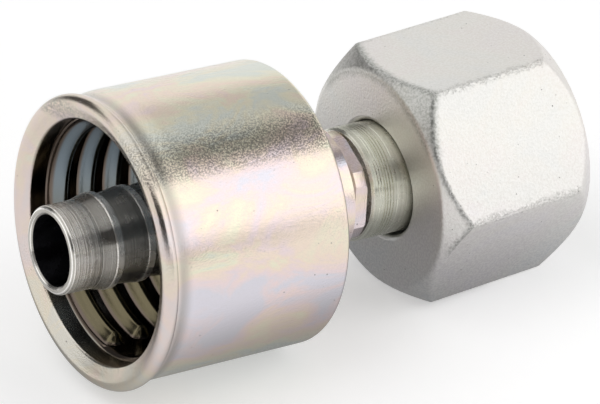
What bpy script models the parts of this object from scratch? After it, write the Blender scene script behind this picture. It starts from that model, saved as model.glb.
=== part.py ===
"""Crimp hose fitting with a swivel nut, for 3/8 inch hose, as it lies on a table.

A steel stem runs through the whole fitting. Its barbed tail takes the hose, its head seals
inside the nut. A shell is crimped onto it by its tail collar, and a loose hex nut turns on
its neck. The loose nut leans a few degrees on the neck. The shell is wider than the nut, so
the fitting lies on the shell's back edge and on the front edge of one of the nut's flats.

Every round piece is drawn along its own axis, which is local Z: zero is the plane of the
shell's mouth, and Z grows towards the nut. The nut is drawn from its own back face.
"""
import math

import bmesh
import bpy
from mathutils import Matrix

MM = 0.001

# Stem: the bore of a 3/8 inch hose tail, and the walls around it
STEM_TIP = -4.8 * MM
STEM_BORE = 3.6 * MM
TIP_ROUND = 0.4 * MM
TAIL_WALL = 0.85 * MM
TAIL_RADIUS = STEM_BORE + TAIL_WALL
BARB_HEIGHT = 0.39 * MM
BARB_RADIUS = TAIL_RADIUS + BARB_HEIGHT
BARB_START = 0.1 * MM
BARB_LAND = 0.7 * MM
BARB_PITCH = 3.6 * MM
BARB_RAMP = 1.5 * MM
BARB_STEP = 0.1 * MM
GROOVE_WALL = 0.75 * MM
GROOVE_RADIUS = STEM_BORE + GROOVE_WALL

# Swivel nut: an M20x1.5 thread, and the hex around it
THREAD_RADIUS = 10.0 * MM
THREAD_DEPTH = 0.8 * MM
THREAD_BORE = THREAD_RADIUS - THREAD_DEPTH
RELIEF_DEPTH = 0.15 * MM
THREAD_RELIEF = THREAD_RADIUS + RELIEF_DEPTH
RELIEF_LENGTH = 2.2 * MM
NUT_SIDE_WALL = 2.0 * MM
NUT_FLATS = 2 * (THREAD_RADIUS + NUT_SIDE_WALL)
NUT_LENGTH = 18.5 * MM
NUT_FACE_INSET = 0.4 * MM
NUT_FACE_RADIUS = NUT_FLATS / 2 - NUT_FACE_INSET
NUT_CHAMFER = 1.8 * MM
NUT_WALL = 3.6 * MM
NUT_LEAD = 0.2 * MM

# Head and neck of the stem, which turn inside the nut
HEAD_CLEARANCE = 1.2 * MM
HEAD_RADIUS = THREAD_BORE - HEAD_CLEARANCE
HEAD_LENGTH = 2.0 * MM
HEAD_GAP = 0.8 * MM
HEAD_SHOULDER = 2.14 * MM
NECK_RADIUS = HEAD_RADIUS - HEAD_SHOULDER
NECK_CLEARANCE = 0.49 * MM
NUT_HOLE = NECK_RADIUS + NECK_CLEARANCE
CONE_INSET = 0.9 * MM
CONE_RADIUS = HEAD_RADIUS - CONE_INSET
CONE_LENGTH = 7.2 * MM
CONE_HALF_ANGLE = math.radians(12)
SEAL_SECTION = 1.6 * MM
SEAL_SETBACK = 1.7 * MM
SEAL_DEPTH = 1.5 * MM
SEAL_SIDE_GAP = 0.25 * MM
SEAL_FLOOR_GAP = 0.2 * MM

# Shell
SHELL_RADIUS = 14.5 * MM
SHELL_LENGTH = 20.8 * MM
RIM_PROUD = 0.55 * MM
RIM_RADIUS = SHELL_RADIUS + RIM_PROUD
RIM_ROUND = 0.8 * MM
RIM_HEIGHT = 0.2 * MM
BACK_ROUND = 0.6 * MM
BACK_DOME = 0.5 * MM
BACK_WALL = 2.6 * MM
SHELL_FLOOR = SHELL_LENGTH - BACK_WALL
FLOOR_ROUND = 0.8 * MM
SHELL_WALL = 2.5 * MM
BORE_RADIUS = SHELL_RADIUS - SHELL_WALL
MOUTH_STEP = 0.35 * MM
MOUTH_RADIUS = BORE_RADIUS + MOUTH_STEP
RIDGE_HEIGHT = 1.1 * MM
RIDGE_RADIUS = BORE_RADIUS - RIDGE_HEIGHT
RIDGE_START = 2.85 * MM
RIDGE_PITCH = 3.05 * MM
RIDGE_WIDTH = 1.3 * MM
RIDGE_FLANK = 0.5 * MM
RIDGE_COUNT = 1 + int((SHELL_FLOOR - FLOOR_ROUND - RIDGE_START - RIDGE_WIDTH - RIDGE_FLANK) / RIDGE_PITCH)
CHANNEL_START = math.radians(329)
CHANNEL_END = math.radians(357)
BARB_COUNT = 1 + int((SHELL_FLOOR - BARB_START - BARB_LAND - BARB_STEP) / BARB_PITCH)

# Collar: the shell's tail, pressed by six jaws into the stem's groove
BARB_CLEARANCE = 0.31 * MM
COLLAR_HOLE = BARB_RADIUS + BARB_CLEARANCE
COLLAR_WALL = 1.85 * MM
COLLAR_RADIUS = COLLAR_HOLE + COLLAR_WALL
COLLAR_LENGTH = 5.6 * MM
CRIMP_START = SHELL_LENGTH + COLLAR_LENGTH
CRIMP_SLOPE = 1.0 * MM
CRIMP_LENGTH = 1.4 * MM
CRIMP_CLEARANCE = 0.3 * MM
CRIMP_HOLE = GROOVE_RADIUS + CRIMP_CLEARANCE
CRIMP_WALL = 1.25 * MM
CRIMP_RADIUS = CRIMP_HOLE + CRIMP_WALL
CRIMP_JAW_COUNT = 6
CRIMP_FLAT_DEPTH = 0.45 * MM
CRIMP_TURN = math.radians(28.5)
COLLAR_END = CRIMP_START + CRIMP_SLOPE + CRIMP_LENGTH
GROOVE_SETBACK = 0.4 * MM
GROOVE_START = CRIMP_START - GROOVE_SETBACK
NECK_GAP = 0.5 * MM
NECK_START = COLLAR_END + NECK_GAP
NUT_SETBACK = 4.95 * MM
NUT_BACK = COLLAR_END + NUT_SETBACK

# The stem's axis crosses the nut's axis this far inside the nut's back face, at this angle
CROSSING = 2.25 * MM
NUT_LEAN = math.radians(4.8)

STEPS = 48
SEAL_STEPS = 10


def clear_scene():
    """Remove whatever the file opened with."""
    for old in list(bpy.data.objects):
        bpy.data.objects.remove(old, do_unlink=True)


def new_collection(name, parent):
    collection = bpy.data.collections.new(name)
    parent.children.link(collection)
    return collection


def new_material(name, colour, roughness, metallic):
    material = bpy.data.materials.new(name)
    material.use_nodes = True
    shader = material.node_tree.nodes["Principled BSDF"]
    shader.inputs["Base Color"].default_value = (*colour, 1.0)
    shader.inputs["Roughness"].default_value = roughness
    shader.inputs["Metallic"].default_value = metallic
    return material


def shade(obj):
    obj.data.shade_smooth()
    obj.data.set_sharp_from_angle(angle=math.radians(30))


def turned(name, outline, collection, steps=STEPS):
    """Turn (radius, height) points once about local Z. A ring's outline is closed by itself."""
    mesh = bpy.data.meshes.new(name)
    points = [(radius, 0.0, height) for radius, height in outline]
    edges = [(i, i + 1) for i in range(len(points) - 1)]
    if outline[0][0] > 0.0:
        edges.append((len(points) - 1, 0))
    mesh.from_pydata(points, edges, [])
    obj = bpy.data.objects.new(name, mesh)
    collection.objects.link(obj)
    screw = obj.modifiers.new("Turn", "SCREW")
    screw.axis = "Z"
    screw.angle = math.tau
    screw.steps = steps
    screw.render_steps = steps
    screw.use_merge_vertices = True
    screw.merge_threshold = 0.00001
    screw.use_smooth_shade = False
    return obj


def prism(name, sides, apothems, heights, collection, turn=0.0):
    """A solid with a regular polygon at each height, widest across its flats by apothem."""
    mesh = bpy.data.meshes.new(name)
    shape = bmesh.new()
    rings = []
    for apothem, height in zip(apothems, heights):
        circle = bmesh.ops.create_circle(
            shape,
            segments=sides,
            radius=apothem / math.cos(math.pi / sides),
            matrix=Matrix.Translation((0, 0, height)) @ Matrix.Rotation(turn, 4, "Z"),
        )
        rings.append(circle["verts"])
    edges = [edge for edge in shape.edges]
    bmesh.ops.bridge_loops(shape, edges=edges)
    for ring in (rings[0], rings[-1]):
        shape.faces.new(ring)
    bmesh.ops.recalc_face_normals(shape, faces=shape.faces)
    shape.to_mesh(mesh)
    shape.free()
    obj = bpy.data.objects.new(name, mesh)
    collection.objects.link(obj)
    return obj


def hide(obj):
    obj.hide_render = True
    obj.display_type = "WIRE"


def combine(obj, other, operation):
    """Cut or intersect an object with another one, which stays with it as a guide."""
    other.parent = obj
    boolean = obj.modifiers.new(other.name, "BOOLEAN")
    boolean.operation = operation
    boolean.solver = "EXACT"
    boolean.object = other
    hide(other)


def arc(centre, radius, start, end, count):
    """Points along an arc in the (radius, height) plane, angles in degrees."""
    points = []
    for i in range(count + 1):
        angle = math.radians(start + (end - start) * i / count)
        points.append((centre[0] + radius * math.cos(angle), centre[1] + radius * math.sin(angle)))
    return points


def shell_outline():
    """Collar end, down the outside to the mouth, then up the ridged bore."""
    edge = 0.25 * MM
    fillet = 0.8 * MM
    flare = 0.12 * MM
    outside = [
        (CRIMP_RADIUS - edge, COLLAR_END),
        (CRIMP_RADIUS, COLLAR_END - edge),
        (CRIMP_RADIUS, CRIMP_START + CRIMP_SLOPE),
        (COLLAR_RADIUS, CRIMP_START),
    ]
    outside += arc((COLLAR_RADIUS + fillet, SHELL_LENGTH + BACK_DOME + fillet), fillet, 180, 270, 3)
    outside += arc((SHELL_RADIUS - BACK_ROUND, SHELL_LENGTH - BACK_ROUND), BACK_ROUND, 85, 0, 3)
    outside += [
        (SHELL_RADIUS, RIM_HEIGHT + 3.5 * RIM_ROUND),
        (SHELL_RADIUS + flare, RIM_HEIGHT + 2 * RIM_ROUND),
    ]
    meets_face = math.degrees(math.asin(RIM_HEIGHT / RIM_ROUND)) - 180
    outside += arc((RIM_RADIUS - RIM_ROUND, RIM_HEIGHT), RIM_ROUND, 40, meets_face, 8)
    inside = [
        (MOUTH_RADIUS + edge, 0.0),
        (MOUTH_RADIUS, edge),
        (MOUTH_RADIUS, RIDGE_START - RIDGE_FLANK - MOUTH_STEP),
    ]
    for i in range(RIDGE_COUNT):
        front = RIDGE_START + i * RIDGE_PITCH
        inside += [
            (BORE_RADIUS, front - RIDGE_FLANK),
            (RIDGE_RADIUS, front),
            (RIDGE_RADIUS, front + RIDGE_WIDTH),
            (BORE_RADIUS, front + RIDGE_WIDTH + RIDGE_FLANK),
        ]
    corner = (BORE_RADIUS - FLOOR_ROUND, SHELL_FLOOR - FLOOR_ROUND)
    inside += arc(corner, FLOOR_ROUND, 0, 90, 3)
    inside += [
        (COLLAR_HOLE + edge, SHELL_FLOOR),
        (COLLAR_HOLE, SHELL_FLOOR + edge),
        (COLLAR_HOLE, CRIMP_START),
        (CRIMP_HOLE, CRIMP_START + CRIMP_SLOPE),
        (CRIMP_HOLE, COLLAR_END),
    ]
    return outside + inside


def wedge(name, radius, start, end, low, high, collection):
    """A slice of a round bar between two angles, drawn as a profile turned part of the way."""
    mesh = bpy.data.meshes.new(name)
    shape = bmesh.new()
    corners = [(0.0, high), (radius, high), (radius, low), (0.0, low)]
    face = shape.faces.new([shape.verts.new((r, 0.0, z)) for r, z in corners])
    bmesh.ops.rotate(shape, verts=shape.verts, cent=(0, 0, 0), matrix=Matrix.Rotation(start, 3, "Z"))
    bmesh.ops.spin(
        shape,
        geom=[face],
        cent=(0, 0, 0),
        axis=(0, 0, 1),
        angle=end - start,
        steps=6,
        use_merge=False,
        use_duplicate=False,
    )
    bmesh.ops.remove_doubles(shape, verts=shape.verts, dist=0.00001)
    bmesh.ops.recalc_face_normals(shape, faces=shape.faces)
    shape.to_mesh(mesh)
    shape.free()
    obj = bpy.data.objects.new(name, mesh)
    collection.objects.link(obj)
    return obj


def make_shell(parts, cutters):
    shell = turned("shell", shell_outline(), parts)
    channel = wedge(
        "ridge_channel",
        BORE_RADIUS,
        CHANNEL_START,
        CHANNEL_END,
        RIDGE_START - RIDGE_FLANK,
        RIDGE_START + RIDGE_COUNT * RIDGE_PITCH - RIDGE_FLANK,
        cutters,
    )
    combine(shell, channel, "DIFFERENCE")
    flat = CRIMP_RADIUS - CRIMP_FLAT_DEPTH
    over = 1.0 * MM
    inner = prism(
        "crimp_flats",
        CRIMP_JAW_COUNT,
        (flat + CRIMP_SLOPE + over, flat, flat),
        (CRIMP_START - over, CRIMP_START + CRIMP_SLOPE, COLLAR_END + 2 * over),
        cutters,
        CRIMP_TURN,
    )
    jaws = turned(
        "crimp_jaws",
        [
            (0.0, COLLAR_END + over),
            (COLLAR_RADIUS + over, COLLAR_END + over),
            (COLLAR_RADIUS + over, CRIMP_START),
            (0.0, CRIMP_START),
        ],
        cutters,
    )
    combine(jaws, inner, "DIFFERENCE")
    combine(shell, jaws, "DIFFERENCE")
    return shell


def head_heights():
    """Where the stem's head, cone and tip lie along its axis."""
    shoulder = NUT_BACK + NUT_WALL + HEAD_GAP
    head = shoulder + HEAD_RADIUS - NECK_RADIUS
    cone = head + HEAD_LENGTH
    return shoulder, head, cone, cone + CONE_LENGTH


def cone_radius(height):
    cone = head_heights()[2]
    return CONE_RADIUS - (height - cone) * math.tan(CONE_HALF_ANGLE)


def seal_groove():
    """Height of the groove's near side, its width and its floor radius."""
    near = head_heights()[2] + SEAL_SETBACK
    return near, SEAL_SECTION + 2 * SEAL_SIDE_GAP, cone_radius(near) - SEAL_DEPTH


def stem_outline():
    """Nose, down the outside to the barbed tail's tip, then up the bore."""
    shoulder, head, cone, nose = head_heights()
    groove, width, floor = seal_groove()
    edge = 0.25 * MM
    outside = [
        (cone_radius(nose) - TIP_ROUND, nose),
        (cone_radius(nose - TIP_ROUND), nose - TIP_ROUND),
        (cone_radius(groove + width), groove + width),
        (floor, groove + width),
        (floor, groove),
        (cone_radius(groove), groove),
        (CONE_RADIUS, cone),
        (HEAD_RADIUS - edge, cone),
        (HEAD_RADIUS, cone - edge),
        (HEAD_RADIUS, head),
        (NECK_RADIUS, shoulder),
        (NECK_RADIUS, NECK_START + edge),
        (NECK_RADIUS - edge, NECK_START),
        (GROOVE_RADIUS, NECK_START),
        (GROOVE_RADIUS, GROOVE_START + edge),
        (BARB_RADIUS, GROOVE_START),
        (BARB_RADIUS, BARB_START + BARB_COUNT * BARB_PITCH),
    ]
    for i in reversed(range(BARB_COUNT)):
        land = BARB_START + i * BARB_PITCH
        outside += [
            (TAIL_RADIUS, land + BARB_LAND + BARB_STEP),
            (BARB_RADIUS, land + BARB_LAND),
            (BARB_RADIUS, land),
        ]
    outside += [
        (TAIL_RADIUS, BARB_START - BARB_RAMP),
        (TAIL_RADIUS, STEM_TIP + TIP_ROUND),
        (TAIL_RADIUS - 0.3 * TIP_ROUND, STEM_TIP + 0.3 * TIP_ROUND),
        (TAIL_RADIUS - TIP_ROUND, STEM_TIP),
    ]
    inside = [
        (STEM_BORE + edge, STEM_TIP),
        (STEM_BORE, STEM_TIP + edge),
        (STEM_BORE, nose - TIP_ROUND),
        (STEM_BORE + TIP_ROUND, nose),
    ]
    return outside + inside


def make_stem(parts):
    return turned("stem", stem_outline(), parts)


def make_seal(parts):
    groove, width, floor = seal_groove()
    centre = (floor + SEAL_FLOOR_GAP + SEAL_SECTION / 2, groove + width / 2)
    outline = arc(centre, SEAL_SECTION / 2, 90, -270 + 360 / SEAL_STEPS, SEAL_STEPS - 1)
    return turned("o_ring", outline, parts)


def make_nut(parts, cutters):
    nut = prism(
        "swivel_nut",
        6,
        (NUT_FLATS / 2, NUT_FLATS / 2),
        (0.0, NUT_LENGTH),
        parts,
    )
    corner, slope = nut_corner()
    reach = 1.0 * MM
    envelope = turned(
        "nut_chamfers",
        [
            (0.0, NUT_LENGTH),
            (NUT_FACE_RADIUS, NUT_LENGTH),
            (corner + reach, NUT_LENGTH - NUT_CHAMFER - reach * slope),
            (corner + reach, NUT_CHAMFER + reach * slope),
            (NUT_FACE_RADIUS, 0.0),
            (0.0, 0.0),
        ],
        cutters,
    )
    combine(nut, envelope, "INTERSECT")
    seat = NUT_WALL + THREAD_BORE - NUT_HOLE
    relief = THREAD_DEPTH + RELIEF_DEPTH
    mouth = THREAD_RELIEF + NUT_LEAD
    bore = turned(
        "nut_bore",
        [
            (0.0, NUT_LENGTH + reach),
            (mouth, NUT_LENGTH + reach),
            (mouth, NUT_LENGTH),
            (THREAD_BORE, NUT_LENGTH - mouth + THREAD_BORE),
            (THREAD_BORE, seat + RELIEF_LENGTH + relief),
            (THREAD_RELIEF, seat + RELIEF_LENGTH),
            (THREAD_RELIEF, seat + NUT_LEAD),
            (THREAD_BORE, seat),
            (NUT_HOLE, NUT_WALL),
            (NUT_HOLE, NUT_LEAD),
            (NUT_HOLE + NUT_LEAD, 0.0),
            (NUT_HOLE + NUT_LEAD, -reach),
            (0.0, -reach),
        ],
        cutters,
    )
    combine(nut, bore, "DIFFERENCE")
    return nut


def nut_corner():
    """Radius of the hex at its corners, and how far the chamfer falls back for each unit of radius."""
    corner = NUT_FLATS / 2 / math.cos(math.pi / 6)
    return corner, NUT_CHAMFER / (corner - NUT_FACE_RADIUS)


def lie():
    """How far the nut points down, and its crossing's height, when both ends touch the table.

    Seen from the side and measured from the crossing: the nut's front edge is a point, and the
    shell's back edge is a small round.
    """
    front = NUT_LENGTH - CROSSING - nut_corner()[1] * NUT_FACE_INSET
    bottom = NUT_FLATS / 2
    along = NUT_BACK + CROSSING - SHELL_LENGTH + BACK_ROUND
    across = (SHELL_RADIUS - BACK_ROUND) * math.cos(math.pi / STEPS)
    reach = front + along * math.cos(NUT_LEAN) + across * math.sin(NUT_LEAN)
    drop = across * math.cos(NUT_LEAN) - along * math.sin(NUT_LEAN) - bottom
    dip = math.asin(BACK_ROUND / math.hypot(reach, drop)) + math.atan(drop / reach)
    return dip, front * math.sin(dip) + bottom * math.cos(dip)


def place(pieces, nut):
    """Lay the pieces on the ground, with the middle of their length over the origin."""
    dip, height = lie()
    pitch = dip + NUT_LEAN
    crossing_height = NUT_BACK + CROSSING
    tail = (crossing_height - STEM_TIP) * math.cos(pitch) + (TAIL_RADIUS - TIP_ROUND) * math.sin(pitch)
    nose = (NUT_LENGTH - CROSSING) * math.cos(dip) + NUT_FACE_RADIUS * math.sin(dip)
    crossing = Matrix.Translation(((tail - nose) / 2, 0.0, height))
    half_step = Matrix.Rotation(math.pi / STEPS, 4, "Z")
    for piece in pieces:
        tilted = Matrix.Rotation(math.pi / 2 + pitch, 4, "Y")
        piece.matrix_world = crossing @ tilted @ half_step @ Matrix.Translation((0, 0, -crossing_height))
    tilted = Matrix.Rotation(math.pi / 2 + dip, 4, "Y")
    nut.matrix_world = crossing @ tilted @ Matrix.Translation((0, 0, -CROSSING))


def main():
    clear_scene()
    root = bpy.context.scene.collection
    parts = new_collection("crimp_hose_fitting", root)
    cutters = new_collection("cutters", root)
    shell = make_shell(parts, cutters)
    stem = make_stem(parts)
    seal = make_seal(parts)
    nut = make_nut(parts, cutters)
    shell.data.materials.append(new_material("yellow_zinc", (0.62, 0.57, 0.52), 0.25, 1.0))
    stem.data.materials.append(new_material("turned_steel", (0.45, 0.44, 0.42), 0.28, 1.0))
    seal.data.materials.append(new_material("black_rubber", (0.02, 0.02, 0.02), 0.6, 0.0))
    nut.data.materials.append(new_material("matte_zinc", (0.66, 0.66, 0.64), 0.42, 1.0))
    place((shell, stem, seal), nut)
    bpy.context.view_layer.update()
    for obj in (shell, stem, seal, nut):
        shade(obj)


main()
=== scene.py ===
import math

import bpy
from mathutils import Matrix, Vector


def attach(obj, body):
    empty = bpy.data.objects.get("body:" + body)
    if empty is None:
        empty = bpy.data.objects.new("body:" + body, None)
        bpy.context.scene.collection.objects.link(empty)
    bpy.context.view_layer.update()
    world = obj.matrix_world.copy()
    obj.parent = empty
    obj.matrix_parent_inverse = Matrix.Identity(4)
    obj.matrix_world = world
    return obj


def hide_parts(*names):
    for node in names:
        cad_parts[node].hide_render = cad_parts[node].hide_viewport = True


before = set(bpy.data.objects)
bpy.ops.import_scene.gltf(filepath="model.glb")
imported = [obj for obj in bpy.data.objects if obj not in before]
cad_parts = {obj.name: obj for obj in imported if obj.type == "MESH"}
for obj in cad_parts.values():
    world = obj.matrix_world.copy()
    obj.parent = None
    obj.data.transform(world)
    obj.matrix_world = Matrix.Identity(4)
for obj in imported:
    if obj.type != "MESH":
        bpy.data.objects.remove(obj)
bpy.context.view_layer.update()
mm = 0.001

# The camera stands in front of the hose end, to the left, and looks down on the fitting by
# thirty degrees through a long lens. It leans a little, because the photograph does.
target = Vector((3.294, 4.202, 10.17)) * mm
azimuth = math.radians(32.356)
elevation = math.radians(29.487)
lean = math.radians(-2.117)
distance = 437.1 * mm
lens = 256.99
forward = Vector((
    math.sin(azimuth) * math.cos(elevation),
    math.cos(azimuth) * math.cos(elevation),
    -math.sin(elevation),
))
bpy.ops.object.camera_add(location=target - forward * distance)
camera = bpy.context.object
camera.rotation_mode = "QUATERNION"
camera.rotation_quaternion = forward.to_track_quat("-Z", "Y") @ Matrix.Rotation(lean, 4, "Z").to_quaternion()
camera.data.sensor_width = 36.0
camera.data.lens = lens
camera.data.clip_start = 0.01
camera.data.clip_end = 10.0
bpy.context.scene.camera = camera
bpy.context.scene.view_settings.view_transform = "Standard"

# The table is a wide sheet of white card. A little of its white is its own, for the camera and
# for what mirrors it, so that it shows as plain white where the light on it is full.
table_lift = 0.36


def start_material(name):
    """A new material with its node tree and its shader."""
    made = bpy.data.materials.new(name)
    made.use_nodes = True
    return made, made.node_tree, made.node_tree.nodes["Principled BSDF"]


def seen_directly(tree):
    """1 for rays of the camera and for those that polished metal or glass sends on, else 0."""
    path = tree.nodes.new("ShaderNodeLightPath")
    total = path.outputs["Is Camera Ray"]
    for kind in ("Is Glossy Ray", "Is Transmission Ray"):
        add = tree.nodes.new("ShaderNodeMath")
        add.operation = "ADD"
        add.use_clamp = True
        tree.links.new(total, add.inputs[0])
        tree.links.new(path.outputs[kind], add.inputs[1])
        total = add.outputs[0]
    return total


bpy.ops.object.select_all(action="DESELECT")
bpy.ops.mesh.primitive_plane_add(size=2.4)
table = bpy.context.object
table.name = "table"
card, tree, shader = start_material("white_card")
shader.inputs["Base Color"].default_value = (0.80, 0.80, 0.80, 1.0)
shader.inputs["Roughness"].default_value = 0.9
shader.inputs["Emission Color"].default_value = (1, 1, 1, 1)
lift = tree.nodes.new("ShaderNodeMath")
lift.operation = "MULTIPLY"
lift.inputs[1].default_value = table_lift
tree.links.new(seen_directly(tree), lift.inputs[0])
tree.links.new(lift.outputs[0], shader.inputs["Emission Strength"])
table.data.materials.append(card)

# The studio is a white cloth tent, lit from outside. The cloth shows as plain white to the
# camera and in polished metal, and lights the table at half of that.
world = bpy.data.worlds.new("light_tent")
bpy.context.scene.world = world
world.use_nodes = True
tree = world.node_tree
background = tree.nodes["Background"]
background.inputs["Color"].default_value = (1.0, 1.0, 1.0, 1.0)
cloth = tree.nodes.new("ShaderNodeMapRange")
cloth.inputs["To Min"].default_value = 0.5
cloth.inputs["To Max"].default_value = 1.0
tree.links.new(seen_directly(tree), cloth.inputs["Value"])
tree.links.new(cloth.outputs["Result"], background.inputs["Strength"])

# Two softboxes hang in the tent: the key light on the right, which the shell mirrors as its
# broad bright band, and a fill light overhead on the left. Each has a black back.
fitting = Vector((-5, -5, 15)) * mm
back_gap = 0.02


def toward(bearing, height):
    """The direction from the fitting at a bearing, counted from +X to +Y, and a height, in degrees."""
    bearing = math.radians(bearing)
    height = math.radians(height)
    return Vector((
        math.cos(bearing) * math.cos(height),
        math.sin(bearing) * math.cos(height),
        math.sin(height),
    ))


def face_the_fitting(thing, first, last, away):
    """Hang a panel between two directions, its local X from first to last, and return its width."""
    out = (first + last).normalized()
    along = (last - first).normalized()
    thing.matrix_world = Matrix.Translation(fitting + out * away) @ Matrix((
        along, out.cross(along), out,
    )).transposed().to_4x4()
    return 2 * away * math.tan(first.angle(last) / 2)


def studio_card(name, grey):
    """A card that metal mirrors, but that the camera doesn't see and that casts no shadow."""
    bpy.ops.mesh.primitive_plane_add(size=1)
    panel = bpy.context.object
    panel.name = name
    paint, _, shade = start_material(name)
    shade.inputs["Base Color"].default_value = (0, 0, 0, 1)
    shade.inputs["Specular IOR Level"].default_value = 0
    shade.inputs["Emission Color"].default_value = (1, 1, 1, 1)
    shade.inputs["Emission Strength"].default_value = grey
    panel.data.materials.append(paint)
    panel.visible_camera = False
    panel.visible_shadow = False
    panel.visible_diffuse = False
    return panel


def flag(name, first, last, across, away, grey):
    """Hang a card between two directions."""
    panel = studio_card(name, grey)
    width = face_the_fitting(panel, first, last, away)
    panel.scale = (width, across, 1)


def softbox(name, first, last, across, away, glow):
    """A lamp with a diffuser that glows evenly: 1 shows as white."""
    lamp = bpy.data.lights.new(name, "AREA")
    hung = bpy.data.objects.new(name, lamp)
    bpy.context.scene.collection.objects.link(hung)
    lamp.shape = "RECTANGLE"
    lamp.size = face_the_fitting(hung, first, last, away)
    lamp.size_y = across
    lamp.energy = glow * math.pi * lamp.size * lamp.size_y
    flag(name + "_back", first, last, across, away + back_gap, grey=0.0)


softbox("key_softbox", toward(-30, 46), toward(-58.4, 4.4), across=0.62, away=0.6, glow=1.4)
softbox("fill_softbox", toward(125, 50), toward(-149, 50), across=0.6, away=0.7, glow=1.1)

# Grey and black cards give the bright metal its dark bands: over the gap above the key light,
# around the camera, on the far left, and as a strip along the far edge of the table.
flag("grey_card", toward(48, 32), toward(12, 50), across=0.2, away=0.5, grey=0.62)
flag("black_card", toward(5, 52), toward(-28, 48), across=0.2, away=0.49, grey=0.24)
flag("camera_card", toward(-88, 28), toward(-166, 27), across=0.34, away=0.5, grey=0.06)
flag("edge_strip", toward(-30, 2.2), toward(-90, 2.2), across=0.07, away=0.9, grey=0.0)
flag("far_card", toward(86, 19), toward(132, 19), across=0.42, away=0.6, grey=0.1)

# Under the fitting lies a dark sheet that fades outward, seen only in reflections: a painted
# shadow of the table that deepens the shade the underside mirrors, while the camera still sees the
# white table.
under = studio_card("painted_shadow_sheet", grey=0.3)
under.location = (0, 9 * mm, 0.3 * mm)
under.scale = (0.12, 0.076, 1)
tree = under.active_material.node_tree
middle = tree.nodes.new("ShaderNodeTexCoord").outputs["Object"]
reach = tree.nodes.new("ShaderNodeVectorMath")
reach.operation = "LENGTH"
tree.links.new(middle, reach.inputs[0])
fade = tree.nodes.new("ShaderNodeMapRange")
fade.interpolation_type = "SMOOTHSTEP"
for name, value in (("From Min", 0.16), ("From Max", 0.5), ("To Min", 1.0), ("To Max", 0.0)):
    fade.inputs[name].default_value = value
tree.links.new(reach.outputs["Value"], fade.inputs["Value"])
tree.links.new(fade.outputs["Result"], tree.nodes["Principled BSDF"].inputs["Alpha"])

# The shell is drawn from steel and plated with zinc under a clear passivate, which shows as
# faint yellow, pink and blue. It is turned here from its half section, measured in
# millimetres from its mouth, and laid down with the stem that it is crimped to.
crossing = Vector((12.1822, 0, 12.5266)) * mm
crossing_height = 36.0
stem_pitch = math.radians(6.71836)
stem_place = (
    Matrix.Translation(crossing)
    @ Matrix.Rotation(math.pi / 2 + stem_pitch, 4, "Y")
    @ Matrix.Translation((0, 0, -crossing_height * mm))
)
same_point = 0.001 * mm


def start_outline(name, point):
    """Leave one vertex at a (radius, height) point of a new object, ready to be extruded."""
    bpy.ops.object.select_all(action="DESELECT")
    bpy.ops.mesh.primitive_plane_add(size=mm, location=(point[0] * mm, 0, point[1] * mm))
    bpy.ops.object.transform_apply(location=True, rotation=False, scale=False)
    piece = bpy.context.object
    piece.name = name
    bpy.ops.object.mode_set(mode="EDIT")
    bpy.ops.mesh.select_all(action="SELECT")
    bpy.ops.mesh.merge(type="CENTER")
    return piece


def extrude_through(points):
    """Extrude the selected vertex through (radius, height) points."""
    for here, there in zip(points, points[1:]):
        step = ((there[0] - here[0]) * mm, 0, (there[1] - here[1]) * mm)
        bpy.ops.mesh.extrude_region_move(TRANSFORM_OT_translate={"value": step})


def lay(piece, place, crease):
    """Put a finished mesh in its place, with its object at the origin."""
    bpy.ops.mesh.select_all(action="SELECT")
    bpy.ops.mesh.remove_doubles(threshold=same_point)
    bpy.ops.mesh.normals_make_consistent(inside=False)
    bpy.ops.object.mode_set(mode="OBJECT")
    piece.matrix_world = place
    bpy.ops.object.transform_apply(location=True, rotation=True, scale=True)
    bpy.ops.object.shade_smooth_by_angle(angle=math.radians(crease))


def turned(name, outline, place, steps, crease=30):
    """Spin a half section once about its axis. A ring's section is closed, a solid's is not."""
    piece = start_outline(name, outline[0])
    closed = outline[0][0] > 0
    extrude_through(outline + outline[:1] if closed else outline)
    bpy.ops.mesh.select_all(action="SELECT")
    bpy.ops.mesh.remove_doubles(threshold=same_point)
    bpy.ops.mesh.spin(steps=steps, angle=math.tau, center=(0, 0, 0), axis=(0, 0, 1))
    lay(piece, place, crease)
    return piece


def arc(centre, radius, start, end, count):
    """Points along an arc of the half section, angles in degrees."""
    angles = [math.radians(start + (end - start) * i / count) for i in range(count + 1)]
    return [(centre[0] + radius * math.cos(a), centre[1] + radius * math.sin(a)) for a in angles]


def cut(piece, tool, operation="DIFFERENCE"):
    """Cut a piece with a tool, which is then thrown away."""
    bpy.context.view_layer.objects.active = piece
    boolean = piece.modifiers.new("cut", "BOOLEAN")
    boolean.object = tool
    boolean.operation = operation
    boolean.solver = "EXACT"
    bpy.ops.object.modifier_apply(modifier=boolean.name)
    bpy.data.objects.remove(tool)


def smooth(piece, crease):
    """Shade a piece smooth, apart from its edges that are sharper than the crease."""
    bpy.ops.object.select_all(action="DESELECT")
    piece.select_set(True)
    bpy.context.view_layer.objects.active = piece
    bpy.ops.object.shade_smooth_by_angle(angle=math.radians(crease))


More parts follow.
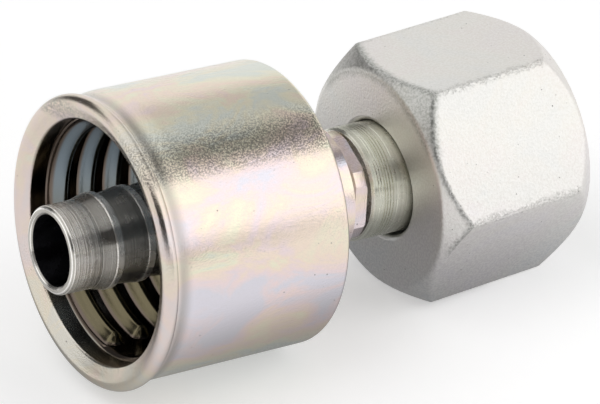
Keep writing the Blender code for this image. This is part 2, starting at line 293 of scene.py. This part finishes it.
shell_radius = 14.5
shell_length = 20.8
shell_bore = 12.0
back_round = 0.6
back_rise = 0.5
rim_roll = 0.8
mouth_round = 0.35
inner_round = 0.8
inner_end = 18.2
stem_hole = 5.15
collar_radius = 7.0
collar_fillet = 0.8
crimp_start = 26.4
crimp_slope = 1.0
crimp_end = 28.8
crimp_outside = 5.9
crimp_inside = 4.65
crimp_round = 0.25
collar_outside = (
    arc((crimp_outside - crimp_round, crimp_end - crimp_round), crimp_round, 90, 0, 4)
    + [(crimp_outside, crimp_start + crimp_slope), (collar_radius, crimp_start)]
)
collar_foot = (collar_radius + collar_fillet, shell_length + back_rise + collar_fillet)
rounded_back = (
    arc(collar_foot, collar_fillet, 180, 270, 8)
    + arc((shell_radius - back_round, shell_length - back_round), back_round, 85, 0, 8)
)
outside_to_waist = [
    (shell_radius, 12.0), (shell_radius, 4.2), (14.47, 3.2), (14.42, 2.4), (14.4, 1.8), (14.44, 1.3),
]
rolled_rim = (
    arc((14.05, 0.2), rim_roll, 52, -112, 22)
    + [(13.3, -0.36), (12.85, -0.12)]
    + arc((12.7, 0.3), mouth_round, -115, -180, 6)
)
inside_wall = (
    [(12.35, 1.95), (12.28, 2.08), (12.05, 2.3), (shell_bore, 2.45), (shell_bore, 8.0), (shell_bore, 13.0)]
    + arc((shell_bore - inner_round, inner_end - inner_round), inner_round, 0, 90, 6)
)
collar_inside = [
    (stem_hole + 0.25, inner_end), (stem_hole, inner_end + 0.25), (stem_hole, crimp_start),
    (crimp_inside, crimp_start + crimp_slope), (crimp_inside, crimp_end),
]
shell_section = collar_outside + rounded_back + outside_to_waist + rolled_rim + inside_wall + collar_inside
shell = turned("shell_body", shell_section, Matrix(), steps=320)

# The real rim is a little off the shell's axis, so the rim is pushed aside and takes the wall
# behind it along.
rim_push = (0.16, -0.1)
rim_depth = 1.2
bpy.ops.object.mode_set(mode="EDIT")
bpy.ops.mesh.select_all(action="DESELECT")
bpy.ops.object.mode_set(mode="OBJECT")
for vertex in shell.data.vertices:
    vertex.select = vertex.co.z < rim_depth * mm and vertex.co.xy.length > shell_bore * mm
bpy.ops.object.mode_set(mode="EDIT")
bpy.ops.transform.translate(
    value=(rim_push[0] * mm, rim_push[1] * mm, 0),
    use_proportional_edit=True,
    proportional_edit_falloff="SMOOTH",
    proportional_size=3 * mm,
    use_proportional_connected=True,
)
bpy.ops.object.mode_set(mode="OBJECT")

# Six jaws pressed the collar into the stem's groove. Each left a flat, and a narrow land
# stands between each two. The jaws are a disc whose hexagonal hole widens toward the shell.
flat_over_corner = math.cos(math.pi / 6)
jaw_flat = 5.45
jaw_turn = math.radians(28.5)
jaw_inside = 5.0
jaw_outside = 9.0
jaw_end = 30.0
hole_depth = 5.0
jaw_section = [
    (jaw_inside, crimp_start), (jaw_outside, crimp_start), (jaw_outside, jaw_end), (jaw_inside, jaw_end),
]
jaws = turned("jaws", jaw_section, Matrix(), steps=96)
bpy.ops.mesh.primitive_cylinder_add(
    vertices=6,
    radius=jaw_flat / flat_over_corner * mm,
    depth=hole_depth * mm,
    location=(0, 0, (crimp_start + hole_depth / 2) * mm),
    rotation=(0, 0, jaw_turn),
)
jaw_hole = bpy.context.object
bpy.ops.object.mode_set(mode="EDIT")
bpy.ops.mesh.select_all(action="SELECT")
bpy.ops.mesh.bisect(plane_co=(0, 0, (crimp_start + crimp_slope) * mm), plane_no=(0, 0, 1))
bpy.ops.mesh.select_all(action="DESELECT")
bpy.ops.object.mode_set(mode="OBJECT")
for vertex in jaw_hole.data.vertices:
    vertex.select = vertex.co.z < (crimp_slope / 2 - hole_depth / 2) * mm
bpy.ops.object.mode_set(mode="EDIT")
widening = (jaw_flat + crimp_slope) / jaw_flat
bpy.ops.transform.resize(value=(widening, widening, 1), center_override=(0, 0, crimp_start * mm))
bpy.ops.object.mode_set(mode="OBJECT")
cut(jaws, jaw_hole)
cut(shell, jaws)
shell.data.transform(stem_place)
smooth(shell, 18)


def put(tree, kind, values, **settings):
    """Add a shader node. Its inputs are numbers, colours or the sockets that feed them."""
    made = tree.nodes.new(kind)
    for name, value in settings.items():
        setattr(made, name, value)
    for name, value in values.items():
        if isinstance(value, bpy.types.NodeSocket):
            tree.links.new(value, made.inputs[name])
        else:
            made.inputs[name].default_value = value
    return made


def calculate(tree, operation, first, second=0.0):
    """The result of a Math node."""
    return put(tree, "ShaderNodeMath", {0: first, 1: second}, operation=operation).outputs[0]


def times(tree, first, second):
    """The product of two masks or numbers."""
    return calculate(tree, "MULTIPLY", first, second)


def inverse(tree, mask):
    """1 where the mask is 0, and 0 where it is 1."""
    return calculate(tree, "SUBTRACT", 1.0, mask)


def combine(tree, operation, first, second, result="Vector"):
    """A result of a Vector Math node."""
    return put(tree, "ShaderNodeVectorMath", {0: first, 1: second}, operation=operation).outputs[result]


def rescale(tree, value, low, high, to_low=0.0, to_high=1.0):
    """Carry the low value to to_low and the high one to to_high, in a straight line."""
    values = {"Value": value, "From Min": low, "From Max": high, "To Min": to_low, "To Max": to_high}
    return put(tree, "ShaderNodeMapRange", values).outputs["Result"]


def between(tree, value, low, high):
    """0 up to the low value, 1 from the high one, and a soft rise between them."""
    values = {"Value": value, "From Min": low, "From Max": high}
    return put(tree, "ShaderNodeMapRange", values, interpolation_type="SMOOTHSTEP").outputs["Result"]


def band(tree, value, rise, fall):
    """1 from the end of the rise to the start of the fall, and 0 outside both."""
    return times(tree, between(tree, value, *rise), between(tree, value, fall[1], fall[0]))


def blend(tree, mask, first, second):
    """The first colour where the mask is 0, and the second where it is 1."""
    mixed = put(tree, "ShaderNodeMix", {"Factor": mask}, data_type="RGBA")
    for socket, value in ((mixed.inputs[6], first), (mixed.inputs[7], second)):
        if isinstance(value, bpy.types.NodeSocket):
            tree.links.new(value, socket)
        else:
            socket.default_value = (*value, 1.0)
    return mixed.outputs[2]


def stain(tree, colour, mask, strength, stained):
    """Lay a stain over a colour where the mask says, at most at the given strength."""
    return blend(tree, times(tree, mask, strength), colour, stained)


def ramp_through(tree, value, stops):
    """The colour at a value, on a ramp through (value, colour) stops."""
    ramp = put(tree, "ShaderNodeValToRGB", {"Fac": value})
    stripe = ramp.color_ramp.elements
    while len(stripe) < len(stops):
        stripe.new(0.5)
    for element, (place, colour) in zip(stripe, stops):
        element.position = place
        element.color = (*colour, 1.0)
    return ramp.outputs["Color"]


def noise(tree, where, scale, detail, **more):
    """The value of a noise texture, from 0 to 1. More of its inputs are given by name."""
    values = {"Vector": where, "Scale": scale, "Detail": detail, **more}
    return put(tree, "ShaderNodeTexNoise", values).outputs["Fac"]


def own_millimetres(tree, place):
    """Coordinates in millimetres in the frame that the piece was drawn in, its axis along Z."""
    values = {
        "Vector": put(tree, "ShaderNodeTexCoord", {}).outputs["Object"],
        "Location": place.to_translation(),
        "Rotation": place.to_euler(),
        "Scale": (mm, mm, mm),
    }
    return put(tree, "ShaderNodeMapping", values, vector_type="TEXTURE").outputs["Vector"]


def apart(tree, here):
    """The X, Y and Z of a point."""
    return put(tree, "ShaderNodeSeparateXYZ", {"Vector": here}).outputs


def distance_from_axis(tree, here):
    """How far a point lies from the axis of the piece."""
    flattened = combine(tree, "MULTIPLY", here, (1.0, 1.0, 0.0))
    return put(tree, "ShaderNodeVectorMath", {0: flattened}, operation="LENGTH").outputs["Value"]


def start_group(name, inputs, outputs):
    """A new node group, with the sockets that bring its inputs and take its outputs."""
    group = bpy.data.node_groups.new(name, "ShaderNodeTree")
    for direction, sockets in (("INPUT", inputs), ("OUTPUT", outputs)):
        for socket, kind in sockets:
            group.interface.new_socket(socket, in_out=direction, socket_type="NodeSocket" + kind)
    return group, group.nodes.new("NodeGroupInput").outputs, group.nodes.new("NodeGroupOutput").inputs


def grouped(tree, group, values):
    """Use a node group with the values given to its inputs, and return its outputs."""
    return put(tree, "ShaderNodeGroup", values, node_tree=group).outputs


# The passivate over the zinc is a film thinner than light's wavelength. Where it grew thicker
# or thinner it turns from pale green over straw and pink to lavender.
tints, given, gives = start_group(
    "film_tints",
    [("Millimetres", "Vector"), ("Size", "Float"), ("Shift", "Float")],
    [("Colour", "Color")],
)
spread = put(tints, "ShaderNodeVectorMath", {0: given["Millimetres"]}, operation="SCALE")
tints.links.new(calculate(tints, "DIVIDE", 1.0, given["Size"]), spread.inputs["Scale"])
clouds = noise(tints, spread.outputs[0], scale=1.0, detail=4.0, Roughness=0.6, Distortion=0.8)
thickness = calculate(tints, "ADD", clouds, given["Shift"])
film_colours = [
    (0.30, (0.68, 0.71, 0.64)),
    (0.40, (0.78, 0.74, 0.58)),
    (0.49, (0.81, 0.68, 0.57)),
    (0.58, (0.78, 0.65, 0.65)),
    (0.70, (0.67, 0.65, 0.71)),
]
tints.links.new(ramp_through(tints, thickness, film_colours), gives["Colour"])

# Under a glass the plated surfaces are never smooth: they have a grain a few tenths of a
# millimetre wide, and here and there a tiny dark pit.
grain, given, gives = start_group(
    "grain",
    [("Millimetres", "Vector"), ("Size", "Float"), ("Depth", "Float"), ("Pits", "Float")],
    [("Normal", "Vector"), ("Speckle", "Float"), ("Pit", "Float")],
)
finer = calculate(grain, "DIVIDE", 1.0, given["Size"])
fine = noise(grain, given["Millimetres"], scale=finer, detail=3.0, Roughness=0.6)
patches = noise(grain, given["Millimetres"], scale=0.9, detail=2.0)
dots = put(grain, "ShaderNodeTexVoronoi", {"Vector": given["Millimetres"], "Scale": 1.1}, feature="F1")
dot = inverse(grain, between(grain, dots.outputs["Distance"], 0.04, 0.10))
pit = times(grain, times(grain, dot, between(grain, patches, 0.50, 0.60)), given["Pits"])
relief = {
    "Height": calculate(grain, "SUBTRACT", fine, pit),
    "Distance": times(grain, given["Depth"], mm),
    "Strength": 1.0,
}
bump = put(grain, "ShaderNodeBump", relief)
grain.links.new(bump.outputs["Normal"], gives["Normal"])
grain.links.new(fine, gives["Speckle"])
grain.links.new(pit, gives["Pit"])

# The plating has its clear colours outside, by height. In a band near the top, dark specks are
# painted, a painted reflection of the dark band that the shell mirrors there.
# The bath hardly reached the bore, which is thinly plated and smoother, and is painted dark, bluish
# above, browner below and darkest between the ridges: painted shade of the hollow. The rim is
# rubbed, and the waist behind it is painted darker, a painted shade of its dip.
zinc, tree, shader = start_material("yellow_zinc")
here = own_millimetres(tree, stem_place)
place = apart(tree, here)
radius = distance_from_axis(tree, here)
squashed = combine(tree, "MULTIPLY", here, (1.0, 1.0, 0.55))
level = rescale(tree, place["X"], -shell_radius, shell_radius)
levels = [(0.08, 0.40), (0.22, 0.55), (0.40, 0.50), (0.52, 0.60), (0.70, 0.60), (0.86, 0.34)]
trend = ramp_through(tree, level, [(at, (value, value, value)) for at, value in levels])
shift = calculate(tree, "SUBTRACT", trend, 0.5)
film = grouped(tree, tints, {"Millimetres": squashed, "Size": 5.5, "Shift": shift})["Colour"]
rubbed = between(tree, place["Z"], 2.4, 0.4)
film = stain(tree, film, rubbed, 0.5, (0.61, 0.53, 0.46))
# Painted shade: the waist behind the rim is painted darker.
waist_painted_shade = band(tree, place["Z"], (0.8, 1.4), (1.5, 2.8))
film = stain(tree, film, waist_painted_shade, 0.5, (0.26, 0.25, 0.23))
in_bore = times(
    tree,
    between(tree, radius, shell_bore + 0.5, shell_bore + 0.3),
    band(tree, place["Z"], (0.1, 0.5), (18.3, 19.5)),
)
# Painted shade: the bore is painted dark, bluish above and browner below, and darkest at the wall between
# the ridges.
bore_film_and_shade = blend(tree, between(tree, place["X"], -4.0, 8.0), (0.19, 0.23, 0.26), (0.15, 0.13, 0.08))
valley_painted_shade = between(tree, radius, shell_bore - 0.3, shell_bore - 0.05)
bore_film_and_shade = blend(tree, valley_painted_shade, bore_film_and_shade, (0.15, 0.12, 0.10))
depth = rescale(tree, in_bore, 0.0, 1.0, to_low=0.024, to_high=0.003)
skin = grouped(tree, grain, {"Millimetres": here, "Size": 0.17, "Depth": depth, "Pits": 0.8})
colour = blend(tree, in_bore, film, bore_film_and_shade)
speckled = times(tree, between(tree, skin["Speckle"], 0.3, 0.7), inverse(tree, in_bore))
colour = stain(tree, colour, speckled, 0.16, (0.55, 0.52, 0.50))
near_top = band(tree, place["X"], (-14.1, -12.2), (-10.8, -9.9))
# Painted reflection: dark specks in a band near the top, where the shell mirrors a dark band.
painted_reflection_specks = times(tree, near_top, between(tree, skin["Speckle"], 0.56, 0.44))
colour = stain(tree, colour, painted_reflection_specks, 0.6, (0.16, 0.155, 0.145))
colour = blend(tree, skin["Pit"], colour, (0.10, 0.09, 0.08))
rough = rescale(tree, skin["Speckle"], 0.3, 0.7, to_low=0.11, to_high=0.20)
tree.links.new(colour, shader.inputs["Base Color"])
tree.links.new(rough, shader.inputs["Roughness"])
tree.links.new(skin["Normal"], shader.inputs["Normal"])
shader.inputs["Metallic"].default_value = 1.0
shell.data.materials.append(zinc)
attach(shell, "crimped_stem")
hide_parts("shell")

# Five ridges stand inside the shell and grip the hose. Each stops short on the lower side,
# with a rounded end like a fingertip, where a smooth channel runs through all of them.
channel_start = 329
channel_end = 357
fingertip_turn = 5.7
ridge_first = 3.5
ridge_pitch = 3.05
ridge_count = 5
ridge_start = math.radians(channel_start - fingertip_turn)
ridge_sweep = math.radians(360 - (channel_end - channel_start) - 2 * fingertip_turn)
ridge_crest = 10.9
ridge_foot = 12.05
ridge_root = 12.25
ridge_reach = 1.35
ridge_steps = 9
ridge_half = []
for i in range(ridge_steps + 1):
    rise = (1 + math.cos(math.pi * i / ridge_steps)) / 2
    ridge_half.append((ridge_foot + (ridge_crest - ridge_foot) * rise, ridge_reach * i / ridge_steps))
ridge_half += [(ridge_root, ridge_reach + 0.05), (ridge_root, 0.0)]
ridge_outline = ridge_half + [(out, -height) for out, height in reversed(ridge_half)]
ridge = start_outline("ridge_1", ridge_outline[0])
extrude_through(ridge_outline)
bpy.ops.mesh.select_all(action="SELECT")
bpy.ops.mesh.remove_doubles(threshold=same_point)
bpy.ops.mesh.spin(steps=216, angle=ridge_sweep, center=(0, 0, 0), axis=(0, 0, 1))


def spin_fingertip(angle, half_turn):
    """Spin the upper half of the ridge's end section about the line that it points along."""
    close = 0.01 * mm
    bpy.ops.mesh.select_all(action="DESELECT")
    bpy.ops.object.mode_set(mode="OBJECT")
    outward = Vector((math.cos(angle), math.sin(angle), 0))
    for vertex in ridge.data.vertices:
        across = vertex.co - outward * vertex.co.dot(outward)
        vertex.select = math.hypot(across.x, across.y) < close and vertex.co.z > -close
    bpy.ops.object.mode_set(mode="EDIT")
    bpy.ops.mesh.spin(steps=14, angle=half_turn, center=(0, 0, 0), axis=outward)


# Blender spins against the right-hand rule, so the ridge's far end lies at minus its sweep.
spin_fingertip(0.0, math.pi)
spin_fingertip(-ridge_sweep, -math.pi)
lay(ridge, Matrix.Rotation(ridge_start, 4, "Z"), crease=50)
ridges = [ridge]
for i in range(1, ridge_count):
    another = ridge.copy()
    another.data = ridge.data.copy()
    another.name = "ridge_%d" % (i + 1)
    bpy.context.scene.collection.objects.link(another)
    ridges.append(another)
for i, ridge in enumerate(ridges):
    ridge.data.transform(stem_place @ Matrix.Translation((0, 0, (ridge_first + ridge_pitch * i) * mm)))
    ridge.data.materials.append(zinc)
    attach(ridge, "crimped_stem")
    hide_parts("shell")

# The stem is turned from bar and drilled through. Its tail has five barbs for the hose, and
# its head a cone with a groove for the seal.
stem_tip = -4.8
stem_bore = 3.6
tip_round = 0.4
tail_radius = 4.45
barb_radius = 4.84
barb_first = 0.1
barb_pitch = 3.6
barb_count = 5
barb_land = 0.7
barb_ramp = 1.5
barb_round = 0.04
tail_end = 26.0
crimp_groove = 4.35
neck_start = 29.3
neck_radius = 5.86
neck_chamfer = 0.25
neck_rings = (
    (30.12, 0.05), (30.45, 0.05), (30.8, 0.12), (31.13, 0.12), (31.46, 0.12), (31.8, 0.12), (32.3, 0.04),
)
ring_half = 0.07
head_start = 38.15
head_radius = 8.0
head_end = 42.29
head_chamfer = 0.25
seal_groove = 5.2386
seal_groove_start = 43.99
seal_groove_end = 46.09
nose_end = 49.49
nose_chamfer = 0.4
stem_section = (
    [(3.9, stem_tip), (tail_radius - tip_round, stem_tip)]
    + arc((tail_radius - tip_round, stem_tip + tip_round), tip_round, -80, 0, 12)
    + [(tail_radius, -1.9), (tail_radius, barb_first - barb_ramp)]
)
for barb in range(barb_count):
    land = barb_first + barb_pitch * barb
    stem_section += [
        (barb_radius - barb_round, land - 0.06),
        (barb_radius, land + barb_round),
        (barb_radius, land + barb_land - 0.02),
        (barb_radius - barb_round, land + barb_land + barb_round),
        (tail_radius + 0.02, land + 0.82),
        (tail_radius, land + 0.87),
    ]
last_land = barb_first + barb_pitch * barb_count
stem_section += [
    (barb_radius - barb_round, last_land - 0.06), (barb_radius, last_land + barb_round),
    (barb_radius, tail_end), (crimp_groove, tail_end + 0.25), (crimp_groove, neck_start),
    (neck_radius - neck_chamfer, neck_start), (neck_radius, neck_start + neck_chamfer),
]
for ring, depth in neck_rings:
    stem_section += [
        (neck_radius, ring - ring_half), (neck_radius - depth, ring), (neck_radius, ring + ring_half),
    ]
stem_section += [
    (neck_radius, head_start), (head_radius, head_start + head_radius - neck_radius),
    (head_radius, head_end - head_chamfer), (head_radius - head_chamfer, head_end), (7.1, head_end),
    (6.7386, seal_groove_start), (seal_groove, seal_groove_start),
    (seal_groove, seal_groove_end), (6.2923, seal_groove_end),
    (5.6546, nose_end - nose_chamfer), (5.1696, nose_end),
    (4.0, nose_end), (stem_bore, nose_end - nose_chamfer),
    (stem_bore, stem_tip + 0.25), (stem_bore + 0.25, stem_tip),
]
stem = turned("stem_body", stem_section, stem_place, steps=192, crease=9)

# The steel is bare from the lathe, with the tool's fine rings all along it. The lands of the
# barbs are painted bright, a painted highlight, and the ramps between them and the bore are
# painted dark, a painted shade.
steel, tree, shader = start_material("turned_steel")
here = own_millimetres(tree, stem_place)
place = apart(tree, here)
ring_values = {"W": place["Z"], "Scale": 7.0, "Detail": 3.0, "Roughness": 0.7}
lines = put(tree, "ShaderNodeTexNoise", ring_values, noise_dimensions="1D").outputs["Fac"]
skin = grouped(tree, grain, {"Millimetres": here, "Size": 0.16, "Depth": 0.002, "Pits": 0.4})
colour = blend(tree, between(tree, lines, 0.38, 0.62), (0.46, 0.44, 0.40), (0.97, 0.95, 0.91))
on_neck = between(tree, place["Z"], neck_start - 0.3, neck_start + 0.3)
colour = stain(tree, colour, on_neck, 0.75, (0.66, 0.67, 0.56))
along_barb = calculate(tree, "FLOORED_MODULO", place["Z"], barb_pitch)
barbs_end = (18.0, 19.0)
# Painted shade: the ramps of the barbs are painted dark.
ramp_painted_shade = times(
    tree, between(tree, along_barb, 0.84, 0.96), band(tree, place["Z"], (-1.8, -1.2), barbs_end)
)
colour = stain(tree, colour, ramp_painted_shade, 0.6, (0.16, 0.155, 0.14))
# Painted highlight: the lands of the barbs are painted bright.
land_painted_highlight = times(
    tree,
    band(tree, along_barb, (0.0, 0.06), (0.78, 0.84)),
    band(tree, place["Z"], (-0.3, -0.1), barbs_end),
)
colour = stain(tree, colour, land_painted_highlight, 0.9, (0.99, 0.97, 0.93))
colour = blend(tree, skin["Pit"], colour, (0.08, 0.07, 0.06))
# Painted shade: the stem's bore is painted nearly black.
in_bore = between(tree, distance_from_axis(tree, here), stem_bore + 0.06, stem_bore + 0.01)
colour = blend(tree, in_bore, colour, (0.03, 0.03, 0.035))
patches = noise(tree, here, scale=0.7, detail=2.0)
rough = rescale(tree, patches, 0.3, 0.7, to_low=0.22, to_high=0.30)
tree.links.new(colour, shader.inputs["Base Color"])
tree.links.new(rough, shader.inputs["Roughness"])
shader.inputs["Metallic"].default_value = 1.0

# The rings spread a highlight across them, along the stem.
spot = put(tree, "ShaderNodeTexCoord", {}).outputs["Object"]
from_mouth = combine(tree, "SUBTRACT", spot, stem_place.to_translation())
around = combine(tree, "CROSS_PRODUCT", stem_place.to_3x3() @ Vector((0, 0, 1)), from_mouth)
facing = put(tree, "ShaderNodeNewGeometry", {}).outputs["Normal"]
tree.links.new(combine(tree, "CROSS_PRODUCT", facing, around), shader.inputs["Tangent"])
shader.inputs["Anisotropic"].default_value = 1.0
relief = {"Height": lines, "Distance": 0.012 * mm, "Strength": 1.0, "Normal": skin["Normal"]}
tree.links.new(put(tree, "ShaderNodeBump", relief).outputs["Normal"], shader.inputs["Normal"])
stem.data.materials.append(steel)
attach(stem, "crimped_stem")
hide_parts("stem")

# A moulded ring of black nitrile rubber with a dull skin is stretched over the cone into its
# groove, where it seals the joint.
seal_thickness = 1.6
seal_clearance = 0.2
bpy.ops.object.select_all(action="DESELECT")
bpy.ops.mesh.primitive_torus_add(
    major_radius=(seal_groove + seal_clearance + seal_thickness / 2) * mm,
    minor_radius=seal_thickness / 2 * mm,
    major_segments=144,
    minor_segments=20,
)
seal = bpy.context.object
seal.name = "seal_ring"
bpy.ops.object.mode_set(mode="EDIT")
seal_height = (seal_groove_start + seal_groove_end) / 2
lay(seal, stem_place @ Matrix.Translation((0, 0, seal_height * mm)), crease=60)

rubber, tree, shader = start_material("black_rubber")
here = own_millimetres(tree, stem_place)
skin = grouped(tree, grain, {"Millimetres": here, "Size": 0.3, "Depth": 0.01, "Pits": 0.0})
colour = blend(tree, skin["Speckle"], (0.012, 0.012, 0.013), (0.030, 0.029, 0.028))
rough = rescale(tree, skin["Speckle"], 0.0, 1.0, to_low=0.42, to_high=0.62)
tree.links.new(colour, shader.inputs["Base Color"])
tree.links.new(rough, shader.inputs["Roughness"])
tree.links.new(skin["Normal"], shader.inputs["Normal"])
seal.data.materials.append(rubber)
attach(seal, "crimped_stem")
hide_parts("o_ring")

# A loose hex nut turns on the neck. It is forged hot, so its edges are round and its skin has
# a fine grain, and then bored, threaded M20x1.5 and plated with zinc.
nut_dip = math.radians(1.91836)
nut_back = 2.25
nut_place = (
    Matrix.Translation(crossing)
    @ Matrix.Rotation(math.pi / 2 + nut_dip, 4, "Y")
    @ Matrix.Translation((0, 0, -nut_back * mm))
)
nut_length = 18.5
nut_flat = 12.0
nut_face = 11.6
nut_wall = 3.6
chamfer_depth = 2.1
back_slope = chamfer_depth / (nut_flat / flat_over_corner - nut_face)
mouth_slope = 1.25
spare = 4
bpy.ops.object.select_all(action="DESELECT")
bpy.ops.mesh.primitive_cylinder_add(
    vertices=6,
    radius=nut_flat / flat_over_corner * mm,
    depth=(nut_length + spare) * mm,
    location=(0, 0, nut_length / 2 * mm),
)
nut = bpy.context.object
nut.name = "nut_body"
bpy.ops.object.transform_apply(location=True, rotation=True, scale=True)
envelope_section = [
    (0, nut_length), (nut_face, nut_length), (nut_face + spare, nut_length - spare * mouth_slope),
    (nut_face + spare, spare * back_slope), (nut_face, 0), (0, 0),
]
# With 60 steps this cut comes out empty.
cut(nut, turned("envelope", envelope_section, Matrix(), steps=66), "INTERSECT")
bpy.context.view_layer.objects.active = nut
rounding = nut.modifiers.new("rounding", "BEVEL")
rounding.width = 0.42 * mm
rounding.segments = 4
rounding.limit_method = "ANGLE"
rounding.angle_limit = math.radians(24)
bpy.ops.object.modifier_apply(modifier=rounding.name)
thread_outside = 10.02
thread_bore = 9.2
lead_radius = 10.4
relief_radius = 10.15
hole_edge = 6.35
seat = nut_wall + thread_bore - hole_edge
thread_hole = [
    (0, nut_length + 1), (lead_radius, nut_length + 1), (lead_radius, nut_length),
    (thread_outside, nut_length + thread_outside - lead_radius), (thread_outside, seat + 2.5),
    (relief_radius, seat + 2.2), (relief_radius, seat + 0.2), (relief_radius - 0.2, seat),
]
shoulder_and_lip = [
    (thread_bore, seat), (hole_edge, nut_wall), (6.15, 3.2), (6.12, 0.6), (6.17, 0.38),
    (6.3, 0.18), (6.5, 0.05), (6.7, 0.0), (6.7, -1), (0, -1),
]
cut(nut, turned("bore", thread_hole + shoulder_and_lip, Matrix(), steps=180))
smooth(nut, 25)
even = nut.modifiers.new("even_shading", "WEIGHTED_NORMAL")
even.weight = 100
even.keep_sharp = True
bpy.ops.object.modifier_apply(modifier=even.name)
nut.data.transform(nut_place)

# The plating is matte silver over the forged skin. The drum that it was plated in dented the
# edges, which are dark and speckled. Where the back chamfer meets the flats, a dark line is
# painted on the front and upper flats, a painted reflection, and a dark band along the top edges,
# a painted shade. Lower down the nut is painted darker, a painted shade.
matte, tree, shader = start_material("matte_zinc")
here = own_millimetres(tree, nut_place)
place = apart(tree, here)
radius = distance_from_axis(tree, here)
across = []
for side in range(3):
    angle = math.radians(60 * side)
    outward = combine(tree, "DOT_PRODUCT", here, (math.cos(angle), math.sin(angle), 0), "Value")
    across.append(calculate(tree, "ABSOLUTE", outward))
larger = calculate(tree, "MAXIMUM", across[0], across[1])
smaller = calculate(tree, "MINIMUM", across[0], across[1])
largest = calculate(tree, "MAXIMUM", larger, across[2])
second = calculate(tree, "MAXIMUM", smaller, calculate(tree, "MINIMUM", larger, across[2]))
wobble = calculate(tree, "SUBTRACT", noise(tree, here, scale=1.6, detail=3.0), 0.5)
uneven = times(tree, wobble, 0.9)
corner = between(tree, calculate(tree, "ADD", second, uneven), 11.3, 11.9)
cone = times(tree, calculate(tree, "SUBTRACT", radius, nut_face), back_slope)
above_cone = calculate(tree, "SUBTRACT", place["Z"], cone)
from_edge = calculate(tree, "ABSOLUTE", calculate(tree, "SUBTRACT", above_cone, 0.2))
on_flat = between(tree, largest, nut_flat - 0.4, nut_flat - 0.15)
nearly_even = calculate(tree, "ADD", from_edge, times(tree, uneven, 0.4))
# Painted reflection: a dark line on the front and upper flats, along the back chamfer.
brink_painted_reflection = times(tree, on_flat, between(tree, nearly_even, 0.30, 0.08))
brink_painted_reflection = times(tree, brink_painted_reflection, between(tree, place["X"], 5.0, 2.0))
# Painted shade: a dark band along the top edges, at the back chamfer.
top_edge_painted_shade = between(tree, calculate(tree, "ADD", from_edge, uneven), 0.9, 0.1)
top_edge_painted_shade = times(tree, top_edge_painted_shade, between(tree, place["X"], -5.5, -8.0))
dents = noise(tree, here, scale=3.2, detail=2.0)
dent = times(tree, corner, between(tree, dents, 0.4, 0.65))
skin = grouped(tree, grain, {"Millimetres": here, "Size": 0.26, "Depth": 0.045, "Pits": 0.9})
film = grouped(tree, tints, {"Millimetres": here, "Size": 11.0, "Shift": -0.06})["Colour"]
# Painted shade: the nut is painted darker towards the bottom, where it also turns more lavender.
level = rescale(tree, place["X"], -6.0, 8.0)
colour = blend(tree, level, (0.75, 0.735, 0.715), (0.59, 0.59, 0.625))
colour = blend(tree, 0.18, colour, film)
colour = stain(tree, colour, brink_painted_reflection, 0.75, (0.20, 0.20, 0.19))
colour = stain(tree, colour, top_edge_painted_shade, 0.6, (0.30, 0.31, 0.28))
colour = stain(tree, colour, dent, 0.4, (0.46, 0.46, 0.42))
colour = stain(tree, colour, between(tree, skin["Speckle"], 0.38, 0.62), 0.45, (0.88, 0.87, 0.85))
colour = blend(tree, skin["Pit"], colour, (0.12, 0.11, 0.10))
rough = rescale(tree, skin["Speckle"], 0.3, 0.7, to_low=0.36, to_high=0.48)
relief = {"Height": dent, "Distance": 0.06 * mm, "Strength": 1.0, "Normal": skin["Normal"]}
dented = put(tree, "ShaderNodeBump", relief, invert=True)
tree.links.new(colour, shader.inputs["Base Color"])
tree.links.new(rough, shader.inputs["Roughness"])
tree.links.new(dented.outputs["Normal"], shader.inputs["Normal"])
shader.inputs["Metallic"].default_value = 1.0
nut.data.materials.append(matte)
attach(nut, "nut")
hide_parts("swivel_nut")

# The thread is one ridge wound along the bore and trimmed to its length, with a lead cut at
# forty-five degrees into the mouth. It is plated with the nut.
thread_pitch = 1.5
thread_turns = 8
thread_start = 7.6
thread_rib = [(10.13, -0.73), (10.0, -0.655), (9.25, -0.22), (thread_bore, -0.17)]
thread_rib += [(out, -height) for out, height in reversed(thread_rib)]
thread = start_outline("nut_thread", thread_rib[0])
extrude_through(thread_rib + thread_rib[:1])
bpy.ops.mesh.select_all(action="SELECT")
bpy.ops.mesh.remove_doubles(threshold=same_point)
bpy.ops.transform.translate(value=(0, 0, thread_start * mm))
bpy.ops.object.mode_set(mode="OBJECT")
wind = thread.modifiers.new("wind", "SCREW")
wind.screw_offset = thread_pitch * mm
wind.iterations = thread_turns
wind.steps = 96
wind.use_merge_vertices = False
bpy.context.view_layer.objects.active = thread
bpy.ops.object.modifier_apply(modifier=wind.name)
bpy.ops.object.mode_set(mode="EDIT")
bpy.ops.mesh.select_all(action="DESELECT")
bpy.ops.mesh.select_non_manifold()
bpy.ops.mesh.edge_face_add()
bpy.ops.mesh.select_all(action="SELECT")
bpy.ops.mesh.normals_make_consistent(inside=False)
bpy.ops.object.mode_set(mode="OBJECT")
sleeve_inside = thread_bore - 0.1
sleeve_end = nut_length - 0.01
sleeve_section = [
    (sleeve_inside, 9.5), (lead_radius, 8.6), (lead_radius, sleeve_end),
    (sleeve_inside, sleeve_end + sleeve_inside - lead_radius),
]
cut(thread, turned("sleeve", sleeve_section, Matrix(), steps=96), "INTERSECT")
smooth(thread, 25)
thread.data.transform(nut_place)
thread.data.materials.clear()
thread.data.materials.append(matte)
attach(thread, "nut")
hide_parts("swivel_nut")
